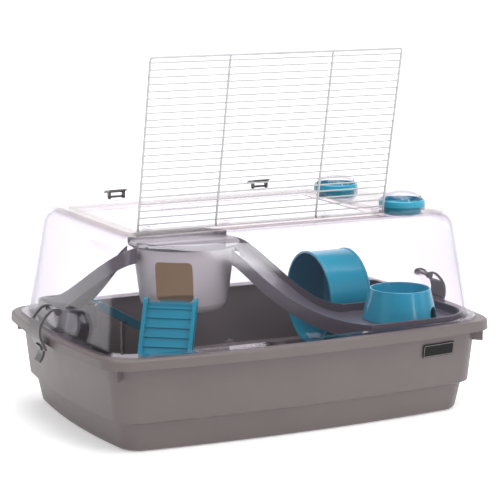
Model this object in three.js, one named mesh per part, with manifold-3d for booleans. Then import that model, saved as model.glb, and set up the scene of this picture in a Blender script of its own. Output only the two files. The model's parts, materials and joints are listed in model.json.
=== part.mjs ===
// Hamster cage: a bowed plastic tray, a clear lift-off hood with two end latches, a roof frame with a
// wire door and two capped tunnel ports, and the furniture inside: a round raised platform with a house
// under it, a slide, a ramp, two side platforms, two ladders, a running wheel and a food bowl.
// Millimetres, +Z up. Origin at the middle of the tray's underside, X along the tray, front towards -Y.
import * as THREE from 'three';
import { mergeVertices } from 'three/addons/utils/BufferGeometryUtils.js';
import Module from 'manifold-3d';

const wasm = await Module();
wasm.setup();

// ---------------------------------------------------------------- driving dimensions
const gap = 0.3; // between pieces that rest on or beside each other

const tray = {
  length: 580, width: 408, height: 125, wall: 3,
  rimBow: [15.6, 21.3], floorBow: [12, 13], rimCorner: 27, floorCorner: 20,
  skirtDrop: 13, skirtWall: 2.8, rimOverhang: 13.2,
  stepHeight: 40, stepInset: 22.5, stepDepth: 7, floorInset: 36,
};
const hood = {
  length: 538, width: 360, wall: 2.2, bow: [12, 13], topBow: [4, 5], corner: 34,
  flange: 10, flangeThickness: 2.7, shoulderHeight: 244, roofHeight: 266, taper: 22, shoulder: 20, ledge: 8,
};
const roof = { length: 461, width: 275, thickness: 5.7, corner: 20, curbWidth: 6, curbDrop: 4.5 };
const opening = { left: -210.6, right: 147.4, halfDepth: 113.5, corner: 2 };
const door = {
  rods: [-206.8, -100, 43.5, 143.5], rodWidth: 3.2, reach: 221.4, openAngle: 101.5, axisHeight: 269.2,
  pitch: 9, wires: 24, wireWidth: 1.7, firstWire: 6.75,
};
const port = {
  places: [['front', 184, -93], ['rear', 180, 80]],
  holeRadius: 26.5, ringRadius: 31, ringHeight: 9, capRise: 12, capWall: 1.8,
};
const latch = { pivotX: 278, pivotZ: 156, width: 35, arm: 3.5, thickness: 3, pinRadius: 2 };
const clip = { places: [['left', -138], ['right', 80]], width: 24 };
const disc = { x: -90, y: 8, radius: 74, floor: 230, sheet: 2.5, lip: 6, wall: 2.5 };
const house = { topRadius: 68, footRadius: 59, bottom: 139, fillet: 18, wall: 2.5, facing: 37.5 };
const doorway = { width: 50, sill: 158, height: 54 };
const slide = {
  topLip: 8.5, footLip: 11.5, skirt: 20, sheet: 2.5, wall: 2.6, top: 228, foot: 132,
  front: [[-58, -70], [10, -92], [95, -168]], back: [[-14, 28], [50, 20], [128, -30]],
};
const deck = { right: 258, front: -167.4, back: -32, stripLeft: 192, stripBack: 104 };
const deckShell = {
  bottom: 112, floor: 120.5, lipTop: 132, wall: 3, sheet: 2.5, corner: 12, frontCorner: 54,
};
const ramp = { width: 44, line: [[-150, 14], [-212, 24], [-224, 130]], top: 229, foot: 147 };
const landing = { left: -250, right: -188, front: 52, back: 150, floor: 134, lipTop: 143, corner: 24 };
const wheel = { x: 118, y: 45, z: 127, radius: 66, width: 64, wall: 2, axle: 3 };
const bowl = { x: 180, y: -98, footRadius: 50.5, topRadius: 41, height: 41, notchAngle: -50 };
const ladder = { width: 70, rail: 5, railHeight: 11, sheet: 2.5, ridge: 1.6, pitch: 13 };
const label = { x: 191, z: 92, width: 50, height: 17, thickness: 1.2 };

// ---------------------------------------------------------------- materials
const plastic = (color, roughness) => new THREE.MeshStandardMaterial({ color, roughness, metalness: 0 });
const clear = (color) => {
  const material = plastic(color, 0.08);
  material.transparent = true;
  material.opacity = 0.3;
  return material;
};
const taupe = plastic('#8d827e', 0.42);
const mauve = plastic('#5a5560', 0.45);
const teal = plastic('#1f87a8', 0.35);
const white = plastic('#e6e3e4', 0.5);
const wireWhite = plastic('#f1f1f3', 0.35);
const dark = plastic('#45444a', 0.45);
const grey = plastic('#77747b', 0.45);
const black = plastic('#1b1b1e', 0.4);
const tinted = clear('#c3b7b5');
const glassy = clear('#ebe6f4');

// ---------------------------------------------------------------- geometry helpers
const radians = THREE.MathUtils.degToRad;
const mix = THREE.MathUtils.lerp;
const turn = (angle) => [Math.cos(radians(angle)), Math.sin(radians(angle))];

function toSolid(geometry) {
  const bare = geometry.clone();
  bare.deleteAttribute('normal');
  bare.deleteAttribute('uv');
  const merged = mergeVertices(bare, 1e-4);
  return new wasm.Manifold(new wasm.Mesh({
    numProp: 3,
    vertProperties: new Float32Array(merged.attributes.position.array),
    triVerts: new Uint32Array(merged.index.array),
  }));
}

function toGeometry(solid) {
  const data = solid.getMesh();
  const geometry = new THREE.BufferGeometry();
  geometry.setAttribute('position', new THREE.BufferAttribute(new Float32Array(data.vertProperties), 3));
  geometry.setIndex(new THREE.BufferAttribute(new Uint32Array(data.triVerts), 1));
  return geometry;
}

function join(first, ...rest) {
  return toGeometry(rest.reduce((sum, next) => sum.add(toSolid(next)), toSolid(first)));
}

function cut(first, ...rest) {
  return toGeometry(rest.reduce((sum, next) => sum.subtract(toSolid(next)), toSolid(first)));
}

function box(x0, x1, y0, y1, z0, z1) {
  const geometry = new THREE.BoxGeometry(x1 - x0, y1 - y0, z1 - z0);
  return geometry.translate((x0 + x1) / 2, (y0 + y1) / 2, (z0 + z1) / 2);
}

// a cylinder standing on z0, or lying along X from x0
function post(x, y, z0, z1, radius, sides = 24) {
  return new THREE.CylinderGeometry(radius, radius, z1 - z0, sides).rotateX(Math.PI / 2)
    .translate(x, y, (z0 + z1) / 2);
}

function barAlongX(x0, x1, y, z, radius, sides = 16) {
  return new THREE.CylinderGeometry(radius, radius, x1 - x0, sides).rotateZ(Math.PI / 2)
    .translate((x0 + x1) / 2, y, z);
}

// outlines as [x, y] points, anticlockwise
function roundedOutline(x0, x1, y0, y1, radius, steps = 5) {
  const corners = [
    [x1 - radius, y1 - radius], [x0 + radius, y1 - radius],
    [x0 + radius, y0 + radius], [x1 - radius, y0 + radius]];
  return corners.flatMap(([x, y], k) => arc(x, y, radius, 90 * k, 90 * (k + 1), steps));
}

const circleOutline = (x, y, radius, sides = 40) => arc(x, y, radius, 0, 360 - 360 / sides, sides - 1);

const polygon = (points) => new THREE.Shape(points.map(([u, v]) => new THREE.Vector2(u, v)));

function plateShape(outline, ...holes) {
  const shape = polygon(outline);
  shape.holes = holes.map((hole) => new THREE.Path(hole.map(([u, v]) => new THREE.Vector2(u, v))));
  return shape;
}

function prism(shape, z0, z1) {
  return new THREE.ExtrudeGeometry(shape, { depth: z1 - z0, bevelEnabled: false }).translate(0, 0, z0);
}

// a profile of [along Y, along Z] points extruded along X
function profileAlongX(points, x0, x1) {
  const basis = new THREE.Matrix4().makeBasis(
    new THREE.Vector3(0, 1, 0), new THREE.Vector3(0, 0, 1), new THREE.Vector3(1, 0, 0));
  return prism(polygon(points), x0, x1).applyMatrix4(basis);
}

// a profile of [along X, along Z] points extruded along Y
function profileAlongY(points, y0, y1) {
  const basis = new THREE.Matrix4().makeBasis(
    new THREE.Vector3(1, 0, 0), new THREE.Vector3(0, 0, 1), new THREE.Vector3(0, -1, 0));
  return prism(polygon(points), -y1, -y0).applyMatrix4(basis);
}

// a profile of [radius, height] points turned about a vertical axis
function turned(points, sides = 48) {
  return new THREE.LatheGeometry(points.map(([r, z]) => new THREE.Vector2(r, z)), sides).rotateX(Math.PI / 2);
}

// part of a circle between two angles, as [u, v] points
function arc(u, v, radius, from, to, steps) {
  return Array.from({ length: steps + 1 }, (_, i) => {
    const [c, s] = turn(mix(from, to, i / steps));
    return [u + radius * c, v + radius * s];
  });
}

// a skin through rings of equal point count; closed with end caps, or into a loop
function loft(rings, loop = false) {
  const count = rings[0].length;
  const positions = rings.flat(2);
  const index = [];
  const spans = loop ? rings.length : rings.length - 1;
  for (let i = 0; i < spans; i += 1) {
    const near = i * count;
    const far = ((i + 1) % rings.length) * count;
    for (let j = 0; j < count; j += 1) {
      const k = (j + 1) % count;
      index.push(near + j, near + k, far + k, near + j, far + k, far + j);
    }
  }
  if (!loop) {
    const last = (rings.length - 1) * count;
    for (let j = 1; j < count - 1; j += 1) {
      index.push(0, j + 1, j);
      index.push(last, last + j, last + j + 1);
    }
  }
  const geometry = new THREE.BufferGeometry();
  geometry.setAttribute('position', new THREE.Float32BufferAttribute(positions, 3));
  geometry.setIndex(index);
  return geometry;
}

// a level outline: a rounded rectangle whose sides bulge outwards, anticlockwise
function bowedRing(halfLength, halfWidth, [bowX, bowY], corner, z) {
  const a = halfLength - bowX;
  const b = halfWidth - bowY;
  const cornerSteps = 5;
  const sideSteps = [10, 7];
  const centres = [
    [a - corner, b - corner], [corner - a, b - corner], [corner - a, corner - b], [a - corner, corner - b]];
  const points = [];
  centres.forEach(([cx, cy], k) => {
    const round = arc(cx, cy, corner, 90 * k, 90 * (k + 1), cornerSteps);
    points.push(...round);
    const [nx, ny] = centres[(k + 1) % 4];
    const [c, s] = turn(90 * (k + 1));
    const [fromX, fromY] = round[cornerSteps];
    const steps = sideSteps[k % 2];
    for (let i = 1; i < steps; i += 1) {
      points.push([mix(fromX, nx + corner * c, i / steps), mix(fromY, ny + corner * s, i / steps)]);
    }
  });
  return points.map(([x, y]) => [
    x * (1 + (bowX / a) * (1 - (y / b) ** 2)), y * (1 + (bowY / b) * (1 - (x / a) ** 2)), z]);
}

function mesh(name, geometry, material) {
  const result = new THREE.Mesh(geometry, material);
  result.name = name;
  return result;
}

// ---------------------------------------------------------------- tray
function trayRing([inset, z]) {
  const rise = z / tray.height;
  const bow = [0, 1].map((i) => mix(tray.floorBow[i], tray.rimBow[i], rise));
  const corner = mix(tray.floorCorner, tray.rimCorner, rise);
  return bowedRing(tray.length / 2 - inset, tray.width / 2 - inset, bow, corner, z);
}

// how far the tray's outer wall stands inside the rim at a height above the step
function wallInset(z) {
  const rise = (z - tray.stepHeight) / (tray.height - tray.skirtDrop - tray.stepHeight);
  return mix(tray.stepInset, tray.rimOverhang, rise);
}

// distance from the tray's middle to its outer wall, at a place along that wall and an inset
function wallReach(axis, along, inset, z) {
  const rise = z / tray.height;
  const bows = [0, 1].map((i) => mix(tray.floorBow[i], tray.rimBow[i], rise));
  const sizes = [tray.length, tray.width];
  const flat = sizes[1 - axis] / 2 - inset - bows[1 - axis];
  return sizes[axis] / 2 - inset - bows[axis] * (along / flat) ** 2;
}

// upright ribs inside the walls that carry the side platforms, following the wall's slope
function supportRibs() {
  const top = deckShell.bottom - gap;
  const { floorInset, stepInset, stepDepth, stepHeight } = tray;
  const levels = [
    [floorInset + 3.4, 1], [floorInset, 7], [stepInset + stepDepth, stepHeight - 3],
    [stepInset, stepHeight + 1], [wallInset(top), top],
  ];
  const thickness = 4;
  // axis of the wall, which side, place along it, inner end of the rib
  const places = [
    [1, -1, 130, 150], [1, -1, 225, 140], [0, 1, -70, 236], [0, 1, 70, 236],
    [0, -1, 80, 236], [0, -1, 120, 234], [1, 1, -216, 138],
  ];
  return places.map(([axis, side, along, inner]) => {
    const outer = levels.map(([inset, z]) => [wallReach(axis, along, inset, z) - 1.2, z]);
    const profile = polygon([[inner, 1], ...outer, [inner, top]]);
    const rib = prism(profile, -thickness / 2, thickness / 2).rotateX(Math.PI / 2);
    return axis === 0
      ? rib.rotateZ(side < 0 ? Math.PI : 0).translate(0, along, 0)
      : rib.rotateZ((side * Math.PI) / 2).translate(along, 0, 0);
  });
}

function cornerGussets() {
  const { length, width, rimCorner } = tray;
  const out = [length / 2 - tray.rimBow[0] - rimCorner, width / 2 - tray.rimBow[1] - rimCorner];
  const top = tray.height - tray.skirtDrop + 4;
  const reach = 15;
  return [[1, 1], [-1, 1], [-1, -1], [1, -1]].map(([sx, sy]) => {
    const rib = new THREE.BoxGeometry(reach, 3.5, 20).translate(rimCorner - 3 - reach / 2, 0, top - 10);
    return rib.rotateZ(Math.atan2(sy, sx)).translate(sx * out[0], sy * out[1], 0);
  });
}

function makeTray() {
  const { height, wall, skirtDrop, skirtWall, rimOverhang } = tray;
  const { stepHeight, stepInset, stepDepth, floorInset } = tray;
  const skirtFoot = height - skirtDrop;
  const underRim = height - wall;
  const outside = [
    [floorInset + 7, 0], [floorInset + 3.4, 1], [floorInset + 1, 3.4], [floorInset, 7],
    [stepInset + stepDepth, stepHeight - 3], [stepInset, stepHeight + 1],
    [rimOverhang, skirtFoot], [rimOverhang - 0.4, underRim], [skirtWall, underRim],
    [skirtWall, skirtFoot], [0, skirtFoot], [0, height - 2], [2, height],
  ];
  const inside = [
    [rimOverhang + wall - 1, height], [rimOverhang + wall, height - 1.5],
    [rimOverhang + wall + 0.2, skirtFoot], [stepInset + wall, stepHeight + 2],
    [stepInset + stepDepth + wall, stepHeight - 2], [floorInset + wall, 6], [floorInset + wall + 3, wall],
  ];
  const shell = loft([...outside, ...inside].map(trayRing));
  return mesh('tray', join(shell, ...supportRibs(), ...cornerGussets()), taupe);
}

function makeLabel() {
  const inset = wallInset(label.z);
  const y = -wallReach(1, label.x, inset, label.z);
  const ahead = wallReach(1, label.x + 1, inset, label.z) + y;
  const yaw = Math.atan(-ahead);
  const wallHeight = tray.height - tray.skirtDrop - tray.stepHeight;
  const lean = Math.atan((tray.stepInset - tray.rimOverhang) / wallHeight);
  const plate = mesh('label_plate', new THREE.BoxGeometry(label.width, label.thickness, label.height), black);
  plate.rotation.set(lean, 0, yaw, 'ZXY');
  plate.position.set(label.x, y - label.thickness / 2 - 3 * gap, label.z);
  return plate;
}

// ---------------------------------------------------------------- hood
const hoodFoot = tray.height + gap;
const flangeTop = hoodFoot + hood.flangeThickness;

// the hood's outline, drawn in by inset and leaning in with height
function hoodRing(inset, z) {
  const rise = THREE.MathUtils.clamp((z - flangeTop) / (hood.shoulderHeight - flangeTop), 0, 1);
  const lean = inset + hood.taper * rise;
  const bow = [0, 1].map((i) => mix(hood.bow[i], hood.topBow[i], rise));
  const corner = hood.corner - Math.max(inset, -hood.flange);
  return bowedRing(hood.length / 2 - lean, hood.width / 2 - lean, bow, corner, z);
}

function latchBoss(side) {
  const inner = hood.length / 2 - 9;
  const halfWidth = latch.width / 2 - latch.arm - 1;
  const outer = latch.pivotX + 4;
  const outline = [
    [inner, flangeTop - 1], [outer - 4, flangeTop - 1], [outer, latch.pivotZ - 6],
    ...arc(latch.pivotX, latch.pivotZ, 4, 0, 150, 5), [inner - 6, latch.pivotZ - 4],
  ];
  const turnUp = new THREE.Matrix4().makeBasis(
    new THREE.Vector3(side, 0, 0), new THREE.Vector3(0, 0, 1), new THREE.Vector3(0, -side, 0));
  return prism(polygon(outline), -halfWidth, halfWidth).applyMatrix4(turnUp);
}

function pinBore(side) {
  const bore = new THREE.CylinderGeometry(latch.pinRadius + gap, latch.pinRadius + gap, latch.width, 16);
  return bore.translate(side * latch.pivotX, 0, latch.pivotZ);
}

function cornerFins() {
  const reach = [hood.length / 2 - hood.bow[0] - hood.corner, hood.width / 2 - hood.bow[1] - hood.corner];
  const height = 42;
  return [[1, 1], [-1, 1], [-1, -1], [1, -1]].map(([sx, sy]) => {
    const fin = new THREE.BoxGeometry(16, 2.4, height)
      .translate(hood.corner - 2, 0, flangeTop - 0.5 + height / 2);
    return fin.rotateZ(Math.atan2(sy, sx)).translate(sx * (reach[0] + 1), sy * (reach[1] + 1), 0);
  });
}

function makeHood() {
  const { wall, shoulder, shoulderHeight, roofHeight, ledge, flange } = hood;
  const drop = roofHeight - shoulderHeight;
  const outerShoulder = arc(0, 0, 1, 90, 0, 4)
    .map(([c, s]) => [shoulder * (1 - s), shoulderHeight + drop * c]);
  const innerShoulder = arc(0, 0, 1, 0, 90, 4).map(([c, s]) => [
    wall + (shoulder - wall) * (1 - s), shoulderHeight + (drop - wall) * c]);
  const rings = [
    [-flange, hoodFoot], [-flange, flangeTop], [0, flangeTop],
    ...outerShoulder, [shoulder + ledge, roofHeight], [shoulder + ledge, roofHeight - wall],
    ...innerShoulder, [wall, hoodFoot],
  ];
  const shell = loft(rings.map(([inset, z]) => hoodRing(inset, z)), true);
  const whole = join(shell, ...cornerFins(), latchBoss(-1), latchBoss(1));
  const room = loft([hoodRing(wall, hoodFoot - 1), hoodRing(wall, hoodFoot), hoodRing(wall, shoulderHeight)]);
  return mesh('hood', cut(whole, room, pinBore(-1), pinBore(1)), glassy);
}

// small clear blocks that hold the hood's foot to the rim, front and rear
function makeHoodClips() {
  const halfLength = 9;
  const inner = hood.width / 2 + 1.5;
  return [['front', -1], ['rear', 1]].map(([place, side]) => {
    const ends = [side * inner, side * (inner + 7)].sort((a, b) => a - b);
    const block = box(-halfLength, halfLength, ...ends, flangeTop + gap, flangeTop + gap + 6);
    return mesh(`hood_clip_${place}`, block, glassy);
  });
}

// ---------------------------------------------------------------- roof frame, ports and wire door
const roofFoot = hood.roofHeight + gap;
const roofTop = roofFoot + roof.thickness;

function makeRoofFrame() {
  const { length, width, corner, curbWidth, curbDrop } = roof;
  const { left, right, halfDepth } = opening;
  const plate = plateShape(
    roundedOutline(-length / 2, length / 2, -width / 2, width / 2, corner),
    roundedOutline(left, right, -halfDepth, halfDepth, opening.corner),
    ...port.places.map(([, x, y]) => circleOutline(x, y, port.holeRadius)),
  );
  // the closed door drops into the opening and lands on this curb
  const curb = plateShape(
    roundedOutline(left - 1, right + 1, -halfDepth - 1, halfDepth + 1, opening.corner),
    roundedOutline(
      left + curbWidth, right - curbWidth, curbWidth - halfDepth, halfDepth - curbWidth, opening.corner),
  );
  const lipBack = halfDepth - curbWidth;
  const fingerLip = box(-76, -22, lipBack, lipBack + 2.5, roofFoot - curbDrop - 9, roofFoot);
  const curbRing = prism(curb, roofFoot - curbDrop, roofFoot + 0.5);
  return mesh('roof_frame', join(prism(plate, roofFoot, roofTop), curbRing, fingerLip), tinted);
}

function makePort([place, x, y]) {
  const { holeRadius, ringRadius, ringHeight, capRise, capWall } = port;
  const neck = holeRadius - gap - 0.2;
  const bore = neck - 2.5;
  const foot = roofTop + gap;
  const collar = turned([
    [bore, roofFoot - 4], [neck, roofFoot - 4], [neck, foot], [ringRadius, foot],
    [ringRadius, foot + ringHeight - 1.5], [ringRadius - 1.5, foot + ringHeight],
    [ringRadius - 3, foot + ringHeight], [ringRadius - 3, foot + 3],
    [bore, foot + 3], [bore, roofFoot - 4],
  ], 40);
  const capFoot = foot + 3 + gap;
  const capRadius = ringRadius - 3.5;
  const brim = foot + ringHeight;
  // a quarter dome from the rim up to the axis, as [radius, height] points
  const dome = (radius, base) => arc(0, 0, 1, 0, 85, 6).map(([c, s]) => [radius * c, base + capRise * s])
    .concat([[0, base + capRise]]);
  const room = capRadius - capWall;
  const shell = [
    ...dome(room, brim - capWall).reverse(), [room, capFoot], [capRadius, capFoot], ...dome(capRadius, brim)];
  const cap = turned(shell, 40);
  const group = new THREE.Group().add(
    mesh(`port_ring_${place}`, collar, teal), mesh(`port_cap_${place}`, cap, glassy));
  [-1, 1].forEach((side, i) => {
    const pin = post(side * (ringRadius - 1.9), 0, brim + gap, brim + 2.8, 1.2, 12);
    group.add(mesh(`port_pin_${place}_${i + 1}`, pin, dark));
  });
  group.position.set(x, y, 0);
  return group;
}

const doorHingeY = 3 - opening.halfDepth;

// the welded wires as one flat grid, drawn closed with its hinge rod on the X axis
function makeDoor() {
  const { rods, rodWidth, reach, pitch, wires, wireWidth, firstWire } = door;
  const half = rodWidth / 2;
  const thin = wireWidth / 2;
  const left = rods[0] - half;
  const right = rods[rods.length - 1] + half;
  const rows = Array.from({ length: wires }, (_, i) => reach - firstWire - pitch * i);
  const grid = join(
    box(left, right, reach - half, reach + half, -half, half),
    ...rods.map((x) => box(x - half, x + half, 0, reach, -half, half)),
    ...rows.map((y) => box(left, right, y - thin, y + thin, -thin, thin)),
    barAlongX(left - 1, right + 1, 0, 0, half, 12),
  );
  const wireDoor = mesh('wire_door', grid, wireWhite);
  wireDoor.rotation.x = radians(door.openAngle);
  wireDoor.position.set(0, doorHingeY, door.axisHeight);
  return wireDoor;
}

// clear hooks on the roof's front band that hold the door's hinge rod down
function makeHingeBlocks() {
  const { rods, rodWidth, axisHeight } = door;
  const bore = rodWidth / 2 + gap + 0.1;
  const outer = bore + 3;
  const width = 9;
  const foot = roofTop + gap;
  const front = doorHingeY - 11;
  const hook = [
    [front, foot], [doorHingeY - 0.5, foot], ...arc(doorHingeY, axisHeight, bore + 1, 70, 0, 5),
    ...arc(doorHingeY, axisHeight, outer + 1, 0, 80, 6), [front, foot + 3],
  ];
  const offsets = [6, 6, 6, -6 - width];
  return rods.map((x, i) => mesh(
    `hinge_block_${i + 1}`, profileAlongX(hook, x + offsets[i], x + offsets[i] + width), glassy));
}

// dark clips on the roof's rear band that swing forward over the closed door
function makeDoorClips() {
  const foot = roofTop + gap;
  const axisY = opening.halfDepth + 8;
  const axisZ = foot + 5;
  const half = clip.width / 2;
  const lug = [
    [axisY - 5, foot], [axisY + 8, foot], [axisY + 8, foot + 2], ...arc(axisY, axisZ, 3.5, 0, 180, 6),
    [axisY - 5, foot + 2],
  ];
  // the toe, over the pivot, to the thumb end at the back
  const lever = [
    [-9.3, 9.2], [-6.3, 7.8], [-1, 5.4], [9, 5.8], [15, 3],
    [15.5, 4.6], [10, 8], [0, 7.8], [-5.5, 10.2], [-8.6, 10.8],
  ].map(([y, z]) => [axisY + y, axisZ + z]);
  const ear = [[axisY - 3, axisZ + 6], [axisY + 3, axisZ + 6], ...arc(axisY, axisZ, 3, 0, -180, 6)];
  return clip.places.flatMap(([place, x]) => {
    const earAt = (x0, x1) => profileAlongX(ear, x0, x1);
    const pin = barAlongX(x - half - 0.5, x + half + 0.5, axisY, axisZ, 1.4, 12);
    const whole = join(
      profileAlongX(lever, x - half, x + half), earAt(x - half, x - half + 3),
      earAt(x + half - 3, x + half), pin);
    const block = profileAlongX(lug, x - half + 3 + gap, x + half - 3 - gap);
    const bore = barAlongX(x - half, x + half, axisY, axisZ, 1.4 + gap, 12);
    return [
      mesh(`clip_lug_${place}`, cut(block, bore), glassy), mesh(`door_clip_${place}`, whole, dark)];
  });
}

// ---------------------------------------------------------------- end latches
function makeLatch(side) {
  const { pivotX, pivotZ, width, arm, thickness, pinRadius } = latch;
  const half = width / 2;
  const eye = pinRadius + 2.6;
  const sweep = [
    [pivotX, pivotZ + eye], [pivotX + 9, pivotZ + 4], [pivotX + 20, pivotZ - 6], [pivotX + 26, pivotZ - 18],
    [pivotX + 26, pivotZ - 32], [pivotX + 21, pivotZ - 43], [pivotX + 18.5, pivotZ - 51],
    [pivotX + 20, pivotZ - 58], [pivotX + 24, pivotZ - 64],
  ];
  const curve = new THREE.SplineCurve(sweep.map(([u, v]) => new THREE.Vector2(u, v)));
  const strip = (from, to, steps, y0, y1) => {
    const points = [];
    const inner = [];
    for (let i = 0; i <= steps; i += 1) {
      const t = mix(from, to, i / steps);
      const at = curve.getPoint(t);
      const along = curve.getTangent(t);
      points.push([at.x, at.y]);
      inner.unshift([at.x + along.y * thickness, at.y - along.x * thickness]);
    }
    return profileAlongY([...points, ...inner], y0, y1);
  };
  const ring = circleOutline(pivotX, pivotZ, eye, 18);
  const catchTooth = [[pivotX + 23, pivotZ - 43], [pivotX + 13, pivotZ - 45.5], [pivotX + 21, pivotZ - 50]];
  const parts = [
    strip(0.3, 0.72, 8, -half, half), strip(0.66, 1, 6, -half / 2, half / 2),
    strip(0.02, 0.4, 6, -half, arm - half), strip(0.02, 0.4, 6, half - arm, half),
    profileAlongY(ring, -half, arm - half), profileAlongY(ring, half - arm, half),
    profileAlongY(catchTooth, -half / 2, half / 2),
  ];
  const bore = new THREE.CylinderGeometry(pinRadius + gap, pinRadius + gap, width + 4, 18);
  const whole = cut(join(...parts), bore.translate(pivotX, 0, pivotZ));
  const pin = new THREE.CylinderGeometry(pinRadius, pinRadius, width, 18).translate(pivotX, 0, pivotZ);
  const place = side < 0 ? 'left' : 'right';
  const group = new THREE.Group().add(
    mesh(`latch_${place}`, whole, grey), mesh(`latch_pin_${place}`, pin, grey));
  group.rotation.z = side < 0 ? Math.PI : 0;
  return group;
}

// ---------------------------------------------------------------- round platform and house
const facing = [-Math.sin(radians(house.facing)), -Math.cos(radians(house.facing))];

// a block reaching outwards from the round platform's axis towards an angle
function spoke(angle, halfWidth, reach, z0, z1) {
  return box(0, reach, -halfWidth, halfWidth, z0, z1).rotateZ(radians(angle)).translate(disc.x, disc.y, 0);
}

function makeUpperPlatform() {
  const { x, y, radius, floor, sheet, lip, wall } = disc;
  const dish = turned([
    [0, floor - sheet], [radius, floor - sheet], [radius, floor + lip], [radius - wall, floor + lip],
    [radius - wall, floor], [0, floor],
  ], 72).translate(x, y, 0);
  const slideGate = spoke(-26.5, 48, radius + 9, floor, floor + lip + 1);
  const rampGate = spoke(174, ramp.width / 2 - slide.wall, radius + 9, floor, floor + lip + 1);
  return mesh('upper_platform', cut(dish, slideGate, rampGate), mauve);
}

// a round tub hung under the platform, with a doorway facing the front left
function makeHouse() {
  const { topRadius, footRadius, bottom, fillet, wall } = house;
  const top = disc.floor - disc.sheet - gap;
  const round = (radius) => arc(0, 0, radius, -90, 0, 6);
  const outside = round(fillet).map(([u, v]) => [footRadius - fillet + u, bottom + fillet + v]);
  const inside = round(fillet - wall).map(([u, v]) => [footRadius - fillet + u, bottom + fillet + v]);
  const tub = turned([
    [0, bottom], ...outside, [topRadius, top],
    [topRadius - wall, top], ...inside.reverse(), [0, bottom + wall],
  ], 64);
  const half = doorway.width / 2;
  const hole = prism(polygon(roundedOutline(-half, half, 0, doorway.height, 7, 3)), 0, topRadius + 10)
    .rotateX(Math.PI / 2).translate(0, 0, doorway.sill).rotateZ(radians(-house.facing));
  return mesh('house', cut(tub, hole).translate(disc.x, disc.y, 0), white);
}

// ---------------------------------------------------------------- slide, ramp and side platforms
function bend(points) {
  return new THREE.QuadraticBezierCurve(...points.map(([x, y]) => new THREE.Vector2(x, y)));
}

const ease = (t) => t * t * (3 - 2 * t);

// a sloping trough between a right-hand and a left-hand edge line, seen going down it
function trough(steps, rightEdge, leftEdge, rightLip, leftLip) {
  const { topLip, footLip, skirt, sheet, wall } = slide;
  const sections = Array.from({ length: steps + 1 }, (_, i) => {
    const t = i / steps;
    const lip = mix(topLip, footLip, t);
    const right = rightEdge(t);
    const left = leftEdge(t);
    const across = left.clone().sub(right).normalize();
    const at = (edge, inset, z) => [edge.x + across.x * inset, edge.y + across.y * inset, z];
    const low = rightLip(t);
    const high = leftLip(t);
    return {
      rightWall: [
        at(right, 0, low - skirt), at(right, wall, low - skirt), at(right, wall, low), at(right, 0, low)],
      leftWall: [
        at(left, -wall, high - skirt), at(left, 0, high - skirt), at(left, 0, high), at(left, -wall, high)],
      floor: [
        at(right, wall / 2, low - lip - sheet), at(left, -wall / 2, high - lip - sheet),
        at(left, -wall / 2, high - lip), at(right, wall / 2, low - lip)],
    };
  });
  const skin = (name) => loft(sections.map((section) => section[name]));
  return join(skin('rightWall'), skin('leftWall'), skin('floor'));
}

const discRoom = () => post(disc.x, disc.y, 100, 270, disc.radius + gap + 0.1, 96);

function makeSlide() {
  const front = bend(slide.front);
  const back = bend(slide.back);
  const body = trough(
    22, (t) => front.getPoint(t), (t) => back.getPoint(t),
    (t) => mix(slide.top, slide.foot, ease(t ** 0.65)), (t) => mix(slide.top, slide.foot, ease(t)));
  return mesh('slide', cut(body, discRoom()), mauve);
}

function makeLeftRamp() {
  const line = bend(ramp.line);
  const edge = (side) => (t) => {
    const along = line.getTangent(t);
    const reach = (side * ramp.width) / 2;
    return line.getPoint(t).add(new THREE.Vector2(-along.y, along.x).multiplyScalar(reach));
  };
  const lip = (t) => mix(ramp.top, ramp.foot, ease(t));
  const body = trough(16, edge(-1), edge(1), lip, lip);
  const underLanding = box(landing.left - 5, landing.right + 5, 80, landing.back, 100, landing.floor + gap);
  return mesh('left_ramp', cut(body, discRoom(), underLanding), mauve);
}

// the right-hand deck's outline: a wide front part and a strip along the right wall
function deckOutline(inset, spill) {
  const { right, front, back, stripLeft, stripBack } = deck;
  const [[, , [x0, y0]], [, , [x1, y1]]] = [slide.front, slide.back];
  const edge = (y) => [mix(x0, x1, (y - y0) / (y1 - y0)) + gap - spill, y];
  const round = deckShell.corner - inset;
  const frontRound = deckShell.frontCorner - inset;
  const hollow = 6;
  return [
    edge(front + inset),
    ...arc(right - inset - frontRound, front + inset + frontRound, frontRound, -90, 0, 8),
    ...arc(right - inset - round, stripBack - inset - round, round, 0, 90, 4),
    ...arc(stripLeft + inset + round, stripBack - inset - round, round, 90, 180, 4),
    ...arc(stripLeft - hollow, back + hollow, hollow + inset, 0, -90, 3),
    edge(back - inset),
  ];
}

// a shallow shell: a floor with a lip above and a skirt below
function dish(outline, floor, lipTop) {
  const { bottom, wall, sheet } = deckShell;
  return cut(
    prism(polygon(outline(0)), bottom, lipTop), prism(polygon(outline(wall)), floor, lipTop + 1),
    prism(polygon(outline(wall)), bottom - 1, floor - sheet));
}

function makeRightPlatform() {
  const outline = (inset) => deckOutline(inset, inset > 0 ? 4 : 0);
  return mesh('right_platform', dish(outline, deckShell.floor, deckShell.lipTop), mauve);
}

function makeLeftPlatform() {
  const { left, right, front, back, floor, lipTop, corner } = landing;
  const outline = (inset) => roundedOutline(
    left + inset, right - inset, front + inset, back - inset, corner - inset, 5);
  return mesh('left_platform', dish(outline, floor, lipTop), mauve);
}

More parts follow.
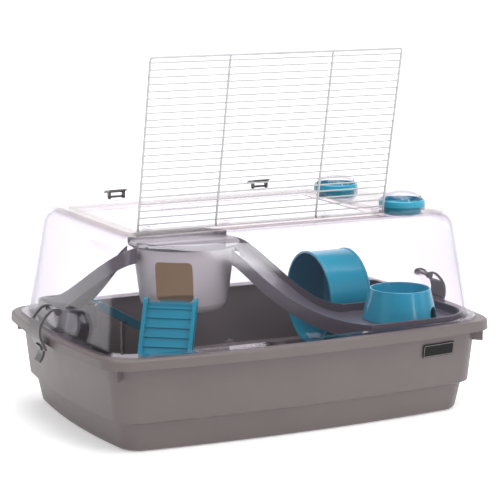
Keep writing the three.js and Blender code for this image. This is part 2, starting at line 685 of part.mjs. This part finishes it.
// ---------------------------------------------------------------- ladders
// a ridged board between two rails, its top edge on the Y axis and running along +X
function ladderBoard(length) {
  const { width, rail, railHeight, sheet, ridge, pitch } = ladder;
  const half = width / 2;
  const under = -sheet - 2;
  const rails = [-half, half - rail].map((y) => join(
    box(0, length, y, y + rail, under, under + railHeight),
    new THREE.CylinderGeometry(railHeight / 2, railHeight / 2, rail, 20)
      .translate(0, y + rail / 2, under + railHeight / 2)));
  const count = Math.floor((length - pitch / 2) / pitch);
  const ridges = Array.from({ length: count }, (_, i) => box(
    pitch * (i + 0.5), pitch * (i + 0.5) + 3, -half + 1, half - 1, -1, ridge));
  return join(box(0, length, -half + 1, half - 1, -sheet, 0), ...rails, ...ridges);
}

// lays a ladder board down from a top point at a slope, trimmed just above the tray floor
function leanLadder(length, x, z, slope) {
  return ladderBoard(length).rotateY(radians(slope)).translate(x, 0, z);
}

const trayFloorRoom = () => box(-400, 400, -400, 400, -50, tray.wall + gap);

function makeFrontLadder() {
  const reach = 75;
  const sillTop = doorway.sill + gap;
  const board = leanLadder(200, reach, sillTop + 4, 60);
  const tongue = box(51.5, reach + 2, -18, 18, sillTop, sillTop + 2.2);
  const bridge = box(reach - 3, reach + 3, -30, 30, sillTop - 1, sillTop + 3.2);
  const placed = join(board, tongue, bridge)
    .rotateZ(Math.atan2(facing[1], facing[0])).translate(disc.x, disc.y, 0);
  return mesh('ladder_front', cut(placed, trayFloorRoom()), teal);
}

function makeBackLadder() {
  const top = landing.lipTop + gap;
  const wallRight = landing.right + gap + 0.2;
  const board = leanLadder(268, 5, top - 6, 30);
  const hook = [
    box(-6, 4, -10, 18, top, top + 2.4), box(-6, -3.8, -10, 18, top - 5, top + 2.4),
    box(0, 6, -26, 18, top - 12, top + 2.4)];
  const placed = join(board, ...hook).translate(wallRight, landing.back - 42, 0);
  return mesh('ladder_back', cut(placed, trayFloorRoom()), teal);
}

// ---------------------------------------------------------------- wheel and bowl
function alongX(geometry, x) {
  return geometry.rotateY(Math.PI / 2).translate(x, wheel.y, wheel.z);
}

function makeWheel() {
  const { x, radius, width, wall, axle } = wheel;
  const bore = axle + gap;
  const skin = radius - 1.2;
  const hub = 9;
  const drum = turned([
    [bore, width - 6], [hub, width - 6], [hub, width - wall], [skin - wall - 4, width - wall],
    [skin - wall, width - wall - 4], [skin - wall, 0], [radius, 0], [radius, 3],
    [skin, 4.2], [skin, width - 4.2], [radius, width - 3], [radius, width - 1], [radius - 1, width],
    [bore, width], [bore, width - 6],
  ], 72);
  const pin = turned([
    [0, -4], [5, -4], [6, -3], [6, -0.5], [axle, -0.5], [axle, 6 + gap + 0.1], [6, 6 + gap + 0.1], [6, 11.4],
    [axle, 11.4], [axle, 15.4], [0, 15.4],
  ], 24);
  return [
    mesh('wheel', alongX(drum, x), teal),
    mesh('wheel_axle', alongX(pin, x + width - 6), dark),
  ];
}

// a hanger hooked over the strip's left wall, carrying the wheel's axle
function makeWheelBracket() {
  const { y, z, axle } = wheel;
  const inner = deck.stripLeft - gap;
  const far = deck.stripLeft + deckShell.wall + gap;
  const over = deckShell.lipTop + gap;
  const hook = [
    [inner - 4, deckShell.bottom], [inner, deckShell.bottom], [inner, over], [far, over], [far, over - 8],
    [far + 2.5, over - 8], [far + 2.5, over + 3], [inner - 4, over + 3],
  ];
  const body = profileAlongY(hook, y - 12, y + 12);
  return mesh('wheel_bracket', cut(body, barAlongX(inner - 6, inner + 2, y, z, axle + gap, 20)), dark);
}

function makeBowl() {
  const { x, y, footRadius, topRadius, height, notchAngle } = bowl;
  const skin = 2.2;
  const body = turned([
    [0, 10.8], [31, 10.8], [37, 16], [38.9, 29], [39.4, 34], [40.4, 34],
    [footRadius - skin, 0], [footRadius, 0],
    [footRadius, 1.5], [topRadius, height - 1], [topRadius - 0.8, height], [topRadius - 2, height],
    [topRadius - 2.8, height - 1.5], [37, 30], [35, 17], [30, 13], [0, 13],
  ], 64);
  const notch = prism(polygon([...arc(0, 6, 12, 0, 180, 10), [-12, -2], [12, -2]]), 40, footRadius + 5)
    .rotateX(Math.PI / 2).rotateZ(radians(notchAngle + 90));
  return mesh('bowl', cut(body, notch).translate(x, y, deckShell.floor + gap), teal);
}

export default new THREE.Group().add(
  makeTray(), makeLabel(), makeHood(), ...makeHoodClips(), makeRoofFrame(), ...port.places.map(makePort),
  makeDoor(), ...makeHingeBlocks(), ...makeDoorClips(), makeLatch(-1), makeLatch(1),
  makeUpperPlatform(), makeHouse(), makeSlide(), makeLeftRamp(), makeRightPlatform(), makeLeftPlatform(),
  makeFrontLadder(), makeBackLadder(), ...makeWheel(), makeWheelBracket(), makeBowl());
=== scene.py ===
"""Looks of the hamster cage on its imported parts: plastics, hood, door, light and camera."""
import json
import math

import bmesh
import bpy
from mathutils import Matrix, Vector


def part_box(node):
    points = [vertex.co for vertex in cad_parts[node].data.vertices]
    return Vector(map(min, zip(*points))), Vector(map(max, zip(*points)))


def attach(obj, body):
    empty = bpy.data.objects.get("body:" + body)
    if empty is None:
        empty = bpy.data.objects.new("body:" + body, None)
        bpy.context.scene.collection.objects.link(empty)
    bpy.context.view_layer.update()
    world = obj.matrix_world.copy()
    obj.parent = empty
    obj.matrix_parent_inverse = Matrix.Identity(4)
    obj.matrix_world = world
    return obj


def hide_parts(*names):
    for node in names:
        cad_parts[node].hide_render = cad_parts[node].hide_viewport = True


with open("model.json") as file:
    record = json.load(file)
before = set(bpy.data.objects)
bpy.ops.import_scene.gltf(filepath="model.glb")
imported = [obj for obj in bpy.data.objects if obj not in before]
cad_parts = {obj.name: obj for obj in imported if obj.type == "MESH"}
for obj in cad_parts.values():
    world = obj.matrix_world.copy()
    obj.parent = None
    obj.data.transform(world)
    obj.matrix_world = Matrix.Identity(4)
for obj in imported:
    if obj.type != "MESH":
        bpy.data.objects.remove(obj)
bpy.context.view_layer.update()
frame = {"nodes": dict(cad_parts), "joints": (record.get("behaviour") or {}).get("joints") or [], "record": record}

MM = 0.001
SHARP = 32  # degrees: edges turned further than this stay crisp on moulded pieces
ROUND_SHARP = 50  # the same for round wires
VIEW_TURN = -26.73  # degrees: how far round from straight in front the camera stands
BODIES = frame["record"]["behaviour"]["bodies"]
BODY_OF = {node: body for body, nodes in BODIES.items() for node in nodes}
JOINT_AT = {joint["child"]: joint for joint in frame["joints"]}


# ---------------------------------------------------------------- materials
def new_material(name):
    """A material with its node tree, output and a Principled shader."""
    material = bpy.data.materials.new(name)
    material.use_nodes = True
    tree = material.node_tree
    return material, tree, tree.nodes["Principled BSDF"], tree.nodes["Material Output"]


def object_noise(tree, scale, detail=3.0, roughness=0.5):
    """Noise fixed to the object's own coordinates."""
    place = tree.nodes.new("ShaderNodeTexCoord")
    noise = tree.nodes.new("ShaderNodeTexNoise")
    noise.inputs["Scale"].default_value = scale
    noise.inputs["Detail"].default_value = detail
    noise.inputs["Roughness"].default_value = roughness
    tree.links.new(place.outputs["Object"], noise.inputs["Vector"])
    return noise


def mottled(tree, color, spread, scale):
    """A colour that drifts a little over the surface."""
    ramp = tree.nodes.new("ShaderNodeValToRGB")
    ramp.color_ramp.elements[0].position = 0.3
    ramp.color_ramp.elements[1].position = 0.7
    ramp.color_ramp.elements[0].color = (*[c * (1 - spread) for c in color], 1)
    ramp.color_ramp.elements[1].color = (*[min(1, c * (1 + spread)) for c in color], 1)
    tree.links.new(object_noise(tree, scale).outputs["Fac"], ramp.inputs["Fac"])
    return ramp.outputs["Color"]


def roughness_drift(tree, shader, low, high, scale=40):
    """Roughness that varies between two values."""
    spread = tree.nodes.new("ShaderNodeMapRange")
    spread.inputs["To Min"].default_value = low
    spread.inputs["To Max"].default_value = high
    tree.links.new(object_noise(tree, scale).outputs["Fac"], spread.inputs["Value"])
    tree.links.new(spread.outputs["Result"], shader.inputs["Roughness"])


def fine_grain(tree, shader, scale, distance, strength=0.4):
    """The faint moulded grain of a plastic surface."""
    bump = tree.nodes.new("ShaderNodeBump")
    bump.inputs["Distance"].default_value = distance
    bump.inputs["Strength"].default_value = strength
    tree.links.new(object_noise(tree, scale, 2.0).outputs["Fac"], bump.inputs["Height"])
    tree.links.new(bump.outputs["Normal"], shader.inputs["Normal"])


def plastic(name, color, roughness, spread=0.04, coat=0.0, bleed=0.0, shine=0.5, glow=0.0):
    """Opaque moulded plastic; glow stands for light that leaks through thin walls behind it."""
    material, tree, shader, _ = new_material(name)
    tone = mottled(tree, color, spread, 14)
    tree.links.new(tone, shader.inputs["Base Color"])
    if glow:
        tree.links.new(tone, shader.inputs["Emission Color"])
        shader.inputs["Emission Strength"].default_value = glow
    roughness_drift(tree, shader, roughness - 0.04, roughness + 0.05)
    fine_grain(tree, shader, 900, 0.06 * MM)
    shader.inputs["Specular IOR Level"].default_value = shine
    shader.inputs["Coat Weight"].default_value = coat
    shader.inputs["Coat Roughness"].default_value = 0.12
    shader.inputs["Subsurface Weight"].default_value = bleed
    shader.inputs["Subsurface Radius"].default_value = (1.0, 0.8, 0.7)
    shader.inputs["Subsurface Scale"].default_value = 0.004
    return material


def schlick(tree, straight_on, grazing):
    """How much a clear sheet reflects: little when faced, most when seen along its surface."""
    facing = tree.nodes.new("ShaderNodeLayerWeight")
    facing.inputs["Blend"].default_value = 0.5
    power = tree.nodes.new("ShaderNodeMath")
    power.operation = "POWER"
    power.inputs[1].default_value = 5.0
    amount = tree.nodes.new("ShaderNodeMath")
    amount.operation = "MULTIPLY_ADD"
    amount.inputs[1].default_value = grazing - straight_on
    amount.inputs[2].default_value = straight_on
    tree.links.new(facing.outputs["Facing"], power.inputs[0])
    tree.links.new(power.outputs["Value"], amount.inputs[0])
    return facing.outputs["Facing"], amount.outputs["Value"]


def clear_plastic(name, tint, edge_tint, gloss=(0.035, 0.75), roughness=0.03, edge_from=0.45):
    """Thin clear sheet: light goes straight through; gloss and tint grow towards the edges."""
    material, tree, shader, output = new_material(name)
    tree.nodes.remove(shader)
    facing, amount = schlick(tree, *gloss)
    see_through = tree.nodes.new("ShaderNodeBsdfTransparent")
    tints = tree.nodes.new("ShaderNodeValToRGB")
    tints.color_ramp.elements[0].color = (*tint, 1)
    tints.color_ramp.elements[0].position = edge_from
    tints.color_ramp.elements[1].color = (*edge_tint, 1)
    tree.links.new(facing, tints.inputs["Fac"])
    tree.links.new(tints.outputs["Color"], see_through.inputs["Color"])
    shine = tree.nodes.new("ShaderNodeBsdfGlossy")
    shine.inputs["Color"].default_value = (1, 1, 1, 1)
    drift = tree.nodes.new("ShaderNodeMapRange")
    drift.inputs["To Min"].default_value = roughness
    drift.inputs["To Max"].default_value = roughness + 0.03
    tree.links.new(object_noise(tree, 25).outputs["Fac"], drift.inputs["Value"])
    tree.links.new(drift.outputs["Result"], shine.inputs["Roughness"])
    mix = tree.nodes.new("ShaderNodeMixShader")
    tree.links.new(amount, mix.inputs["Fac"])
    tree.links.new(see_through.outputs["BSDF"], mix.inputs[1])
    tree.links.new(shine.outputs["BSDF"], mix.inputs[2])
    tree.links.new(mix.outputs["Shader"], output.inputs["Surface"])
    return material


def knurled(name, color, pitch, depth):
    """Dark grip plastic with crossed diagonal ridges."""
    material, tree, shader, _ = new_material(name)
    tree.links.new(mottled(tree, color, 0.08, 30), shader.inputs["Base Color"])
    shader.inputs["Roughness"].default_value = 0.38
    place = tree.nodes.new("ShaderNodeTexCoord")
    heights = []
    for turn in (45, -45):
        aim = tree.nodes.new("ShaderNodeMapping")
        aim.inputs["Rotation"].default_value = (math.radians(turn), 0, 0)
        wave = tree.nodes.new("ShaderNodeTexWave")
        wave.bands_direction = "Y"
        wave.inputs["Scale"].default_value = 0.314 / (pitch * MM)
        tree.links.new(place.outputs["Object"], aim.inputs["Vector"])
        tree.links.new(aim.outputs["Vector"], wave.inputs["Vector"])
        heights.append(wave.outputs["Fac"])
    both = tree.nodes.new("ShaderNodeMath")
    both.operation = "MINIMUM"
    tree.links.new(heights[0], both.inputs[0])
    tree.links.new(heights[1], both.inputs[1])
    bump = tree.nodes.new("ShaderNodeBump")
    bump.inputs["Distance"].default_value = depth * MM
    tree.links.new(both.outputs["Value"], bump.inputs["Height"])
    tree.links.new(bump.outputs["Normal"], shader.inputs["Normal"])
    return material


MATERIALS = {
    "tray_taupe": plastic("tray_taupe", (0.158, 0.13, 0.129), 0.42, shine=0.4),
    "platform_mauve": plastic("platform_mauve", (0.115, 0.1, 0.127), 0.36, coat=0.2),
    "teal": plastic("teal", (0.004, 0.34, 0.5), 0.3, coat=0.35, bleed=0.1),
    "house_white": plastic("house_white", (0.72, 0.7, 0.715), 0.42, coat=0.1, bleed=0.1),
    # the house's brown inside glows a little: painted light standing in for light that comes through its thin
    # walls
    "house_brown_painted_glow": plastic("house_brown_painted_glow", (0.72, 0.57, 0.42), 0.6, spread=0.07, glow=0.15),
    "wire_white": plastic("wire_white", (0.5, 0.5, 0.512), 0.3, coat=0.5),
    "clip_dark": plastic("clip_dark", (0.075, 0.07, 0.078), 0.35, coat=0.3),
    "latch_grey": plastic("latch_grey", (0.085, 0.08, 0.086), 0.4, coat=0.2),
    "latch_grip": knurled("latch_grip", (0.16, 0.15, 0.155), 2.2, 0.5),
    "label_black": plastic("label_black", (0.008, 0.007, 0.008), 0.4, shine=0.15),
    "label_line": plastic("label_line", (0.45, 0.45, 0.46), 0.4),
    "clear_hood": clear_plastic(
        "clear_hood", (0.975, 0.958, 0.98), (0.56, 0.54, 0.6), edge_from=0.5),
    "clear_tinted": clear_plastic(
        "clear_tinted", (0.9, 0.88, 0.885), (0.62, 0.57, 0.57), roughness=0.06),
}
SLOT_OF = {part["node"]: part["material_slot"] for part in frame["record"]["subparts"]}


# ---------------------------------------------------------------- mesh helpers
def finish_mesh(name, mesh, node, sharp_at=SHARP):
    """Puts a mesh in the scene in place of a CAD node and lets it ride that node's body."""
    made = bpy.data.objects.new(name, mesh)
    bpy.context.scene.collection.objects.link(made)
    mesh.materials.clear()
    mesh.materials.append(MATERIALS[SLOT_OF[node]])
    mesh.shade_smooth()
    mesh.set_sharp_from_angle(angle=math.radians(sharp_at))
    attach(made, BODY_OF[node])
    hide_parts(node)
    return made


def soften(made, width):
    """Rounds the sharp edges of a piece and keeps the shading of its large faces flat."""
    bevel = made.modifiers.new("soft_edges", "BEVEL")
    bevel.width = width * MM
    bevel.segments = 2
    bevel.limit_method = "ANGLE"
    bevel.angle_limit = math.radians(SHARP)
    bevel.harden_normals = True
    flat = made.modifiers.new("flat_faces", "WEIGHTED_NORMAL")
    flat.keep_sharp = True
    flat.weight = 90


def refined(node, width, paint=None):
    """The node's own shape with clean faces and softened edges.

    paint, where given, marks some faces for a second finish and returns that finish's name.
    """
    mesh = frame["nodes"][node].data.copy()
    work = bmesh.new()
    work.from_mesh(mesh)
    bmesh.ops.remove_doubles(work, verts=work.verts, dist=1e-6)
    if node != "hood":  # its bowed walls reflect evenly only with every face kept
        bmesh.ops.dissolve_limit(
            work, angle_limit=math.radians(0.4), verts=work.verts, edges=work.edges, delimit=set())
    bmesh.ops.recalc_face_normals(work, faces=work.faces)
    for face in work.faces:
        face.material_index = 0
    second = paint(work, frame["nodes"][node].matrix_world) if paint else None
    slots = [face.material_index for face in work.faces]
    work.to_mesh(mesh)
    work.free()
    made = finish_mesh(f"{node}_surface", mesh, node)
    if second:
        mesh.materials.append(MATERIALS[second])
        mesh.polygons.foreach_set("material_index", slots)
    soften(made, width)


def join_tubes(name, runs, radius, sides=3):
    """The mesh of round wires along runs of points."""
    curve = bpy.data.curves.new(name, "CURVE")
    curve.dimensions = "3D"
    curve.bevel_depth = radius * MM
    curve.bevel_resolution = sides
    curve.use_fill_caps = True
    for points in runs:
        spline = curve.splines.new("POLY")
        spline.points.add(len(points) - 1)
        for slot, point in zip(spline.points, points):
            slot.co = (*(Vector(point) * MM), 1)
    holder = bpy.data.objects.new(name, curve)
    bpy.context.scene.collection.objects.link(holder)
    bpy.context.view_layer.update()
    evaluated = holder.evaluated_get(bpy.context.evaluated_depsgraph_get())
    mesh = bpy.data.meshes.new_from_object(evaluated)
    bpy.data.objects.remove(holder)
    return mesh


# ---------------------------------------------------------------- pieces
def make_wire_door():
    """Round wires welded across four rods, leaning open."""
    hinge = JOINT_AT["roof_door"]
    pivot = Vector(hinge["pos_m"]) / MM
    lean = math.radians(-hinge["range_deg"][0])
    tilt = Matrix.Translation(pivot) @ Matrix.Rotation(lean, 4, "X")
    low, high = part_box("wire_door")
    left, right = low.x / MM + 1, high.x / MM - 1
    reach = 221.4  # hinge line to the far rod
    rod_radius, wire_radius = 1.5, 0.95
    wires, pitch, first = 24, 9.0, 6.75
    bend = 3.0  # radius at the far corners
    pin_end, wire_end, wire_drop = 0.6, 1.2, 0.5  # how far ends stick out and wires lie under rods
    rods = [left + rod_radius, -100, 43.5, right - rod_radius]
    rows = [reach - first - pitch * i for i in range(wires)]

    def place(points):
        return [tilt @ Vector(p) for p in points]

    turns = [math.pi / 2 * k / 4 for k in range(5)]
    corner = [(bend * (1 - math.cos(a)), bend * (1 - math.sin(a))) for a in turns]
    outer = [(rods[0], 0, 0)]
    outer += [(rods[0] + dx, reach - dy, 0) for dx, dy in corner]
    outer += [(rods[3] - dx, reach - dy, 0) for dx, dy in reversed(corner)]
    outer += [(rods[3], 0, 0)]
    thick = [place(outer)] + [place([(x, 0, 0), (x, reach + 1, 0)]) for x in rods[1:3]]
    thick.append(place([(left - pin_end, 0, 0), (right + pin_end, 0, 0)]))
    thin = [place([(rods[0] - wire_end, y, -wire_drop), (rods[3] + wire_end, y, -wire_drop)])
            for y in rows]
    rods_mesh = join_tubes("door_rods", thick, rod_radius)
    wires_mesh = join_tubes("door_wires", thin, wire_radius, 2)
    finish_mesh("wire_door_rods", rods_mesh, "wire_door", ROUND_SHARP)
    finish_mesh("wire_door_wires", wires_mesh, "wire_door", ROUND_SHARP)


def paint_house(work, placed):
    """Faces that look towards the house's middle turn a darker brown, which also glows a little: painted light
    that stands in for light through the thin walls.
    """
    low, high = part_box("house")
    middle = (low + high) / 2
    for face in work.faces:
        inwards = middle - placed @ face.calc_center_median()
        inwards.z = 0
        facing_in = face.normal.dot(inwards) > 0.3 * inwards.length
        if facing_in and abs(face.normal.z) < 0.7:
            face.material_index = 1
    return "house_brown_painted_glow"


def paint_label(work, _placed):
    """A thin pale line runs round the blank plate, just inside its edge."""
    edge, line = 1.3 * MM, 0.5 * MM
    front = min(work.faces, key=lambda face: face.normal.y * face.calc_area())
    bmesh.ops.inset_individual(work, faces=[front], thickness=edge)
    ring = bmesh.ops.inset_individual(work, faces=[front], thickness=line)["faces"]
    for face in ring:
        face.material_index = 1
    return "label_line"


def paint_latch(work, _placed):
    """The broad faces of each end latch carry a knurled grip round the middle of its upper half."""
    grip_from, grip_to = 0.45, 0.85  # shares of the latch's height
    low = min(vert.co.z for vert in work.verts)
    high = max(vert.co.z for vert in work.verts)
    for face in work.faces:
        height = (face.calc_center_median().z - low) / (high - low)
        if abs(face.normal.x) > 0.8 and grip_from < height < grip_to:
            face.material_index = 1
    return "latch_grip"


def make_flange_tabs():
    """Three small clear arches that stand on the hood's flange."""
    tray_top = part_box("tray")[1].z / MM
    centre_height = tray_top + 7
    radius, tube = 6.0, 1.3
    turns = [math.pi * k / 12 for k in range(13)]
    places = [(-118, -186, 0), (262, -70, 90), (150, 186, 0)]  # x, y and degrees turned
    runs = []
    for x, y, turned in places:
        along = Vector((math.cos(math.radians(turned)), math.sin(math.radians(turned)), 0))
        runs.append([
            Vector((x, y, centre_height + radius * math.sin(a))) + along * (radius * math.cos(a))
            for a in turns])
    finish_mesh("hood_tabs", join_tubes("hood_tabs", runs, tube), "hood", ROUND_SHARP)


def make_pieces():
    """Every node except the door, from its own shape."""
    finishes = {
        "house": paint_house, "label_plate": paint_label,
        "latch_left": paint_latch, "latch_right": paint_latch,
    }
    small_width = 0.35
    widths = {
        "tray": 0.9, "hood": 0.7, "roof_frame": 0.8, "house": 0.8, "slide": 0.7,
        "upper_platform": 0.8, "right_platform": 0.9, "left_platform": 0.9, "left_ramp": 0.7,
        "ladder_front": 0.5, "ladder_back": 0.5, "wheel": 0.3, "wheel_axle": 0.3,
        "wheel_bracket": 0.5, "bowl": 0.5, "label_plate": 0.3,
    }
    for node in frame["nodes"]:
        if node != "wire_door":
            refined(node, widths.get(node, small_width), finishes.get(node))
    make_wire_door()
    make_flange_tabs()


# ---------------------------------------------------------------- floor, light and camera
def floor_material():
    """Pale matt paper that glows a little, more so far from the cage."""
    material, tree, shader, _ = new_material("pale_floor")
    tone = mottled(tree, (0.93, 0.93, 0.935), 0.01, 2)
    tree.links.new(tone, shader.inputs["Base Color"])
    tree.links.new(tone, shader.inputs["Emission Color"])
    place = tree.nodes.new("ShaderNodeTexCoord")
    reach = tree.nodes.new("ShaderNodeVectorMath")
    reach.operation = "LENGTH"
    brighten = tree.nodes.new("ShaderNodeMapRange")
    brighten.inputs["From Min"].default_value = 0.8
    brighten.inputs["From Max"].default_value = 3.5
    brighten.inputs["To Min"].default_value = 0.42
    brighten.inputs["To Max"].default_value = 0.95
    tree.links.new(place.outputs["Object"], reach.inputs[0])
    tree.links.new(reach.outputs["Value"], brighten.inputs["Value"])
    tree.links.new(brighten.outputs["Result"], shader.inputs["Emission Strength"])
    shader.inputs["Roughness"].default_value = 0.85
    shader.inputs["Specular IOR Level"].default_value = 0.2
    return material


def make_floor():
    """A wide pale sheet under the cage, curving up far behind it."""
    front, back, wide = -5.0, 3.0, 6.0
    bend, rise, steps = 1.5, 4.0, 16
    under = 0.0004  # the sheet lies this far below the tray
    run = [(front, 0.0)]
    for k in range(steps + 1):
        turn = math.pi / 2 * k / steps
        run.append((back + bend * math.sin(turn), bend * (1 - math.cos(turn))))
    run.append((back + bend, rise))
    mesh = bpy.data.meshes.new("floor")
    points = [(x, y, z - under) for y, z in run for x in (-wide, wide)]
    faces = [(2 * k, 2 * k + 1, 2 * k + 3, 2 * k + 2) for k in range(len(run) - 1)]
    mesh.from_pydata(points, [], faces)
    floor = bpy.data.objects.new("floor", mesh)
    bpy.context.scene.collection.objects.link(floor)
    floor.rotation_euler.z = math.radians(VIEW_TURN)
    mesh.shade_smooth()
    mesh.materials.append(floor_material())


def add_softbox(name, place, target, width, height, power):
    """A rectangular lamp facing a point."""
    lamp = bpy.data.lights.new(name, "AREA")
    lamp.shape = "RECTANGLE"
    lamp.size = width
    lamp.size_y = height
    lamp.energy = power
    holder = bpy.data.objects.new(name, lamp)
    bpy.context.scene.collection.objects.link(holder)
    holder.location = place
    holder.rotation_euler = (Vector(target) - Vector(place)).to_track_quat("-Z", "Y").to_euler()


def light_scene():
    """White surround, soft lamps, and a tall strip lamp whose reflection hazes the hood's front."""
    world = bpy.data.worlds.new("studio")
    bpy.context.scene.world = world
    world.use_nodes = True
    tree = world.node_tree
    tree.nodes["Background"].inputs["Color"].default_value = (1, 1, 1, 1)
    path = tree.nodes.new("ShaderNodeLightPath")
    glow = tree.nodes.new("ShaderNodeMapRange")
    glow.inputs["To Min"].default_value = 0.27
    glow.inputs["To Max"].default_value = 1.0
    tree.links.new(path.outputs["Is Camera Ray"], glow.inputs["Value"])
    tree.links.new(glow.outputs["Result"], tree.nodes["Background"].inputs["Strength"])
    # name, place, what it faces, width, height and power
    add_softbox("overhead", (0.2, 0.1, 2.4), (0, 0, 0.1), 2.4, 1.8, 40)
    add_softbox("left_side", (-2.5, -0.5, 1.3), (0, 0, 0.15), 1.4, 1.6, 6)
    add_softbox("right_side", (2.3, -1.1, 1.1), (0, 0, 0.15), 1.2, 1.2, 8)
    add_softbox("top_front", (-0.4, -1.3, 2.3), (0, 0, 0.1), 1.0, 0.8, 14)
    add_softbox("front_strip", (0.68, -1.91, 1.68), (-0.1, -0.16, 0.23), 0.32, 2.7, 17)


def add_camera():
    """The photograph's view: from the front left, slightly above, VIEW_TURN round."""
    lens = bpy.data.cameras.new("camera")
    lens.sensor_width = 36
    lens.lens = 137.58
    camera = bpy.data.objects.new("camera", lens)
    bpy.context.scene.collection.objects.link(camera)
    place = Vector((-1.1308, -2.2537, 0.6590))
    target = Vector((0.00413, 0, 0.2113))
    camera.location = place
    camera.rotation_euler = (target - place).to_track_quat("-Z", "Y").to_euler()
    lens.clip_end = 50
    bpy.context.scene.camera = camera


make_pieces()
make_floor()
light_scene()
add_camera()
bpy.context.scene.view_settings.view_transform = "Standard"

bpy.context.view_layer.update()
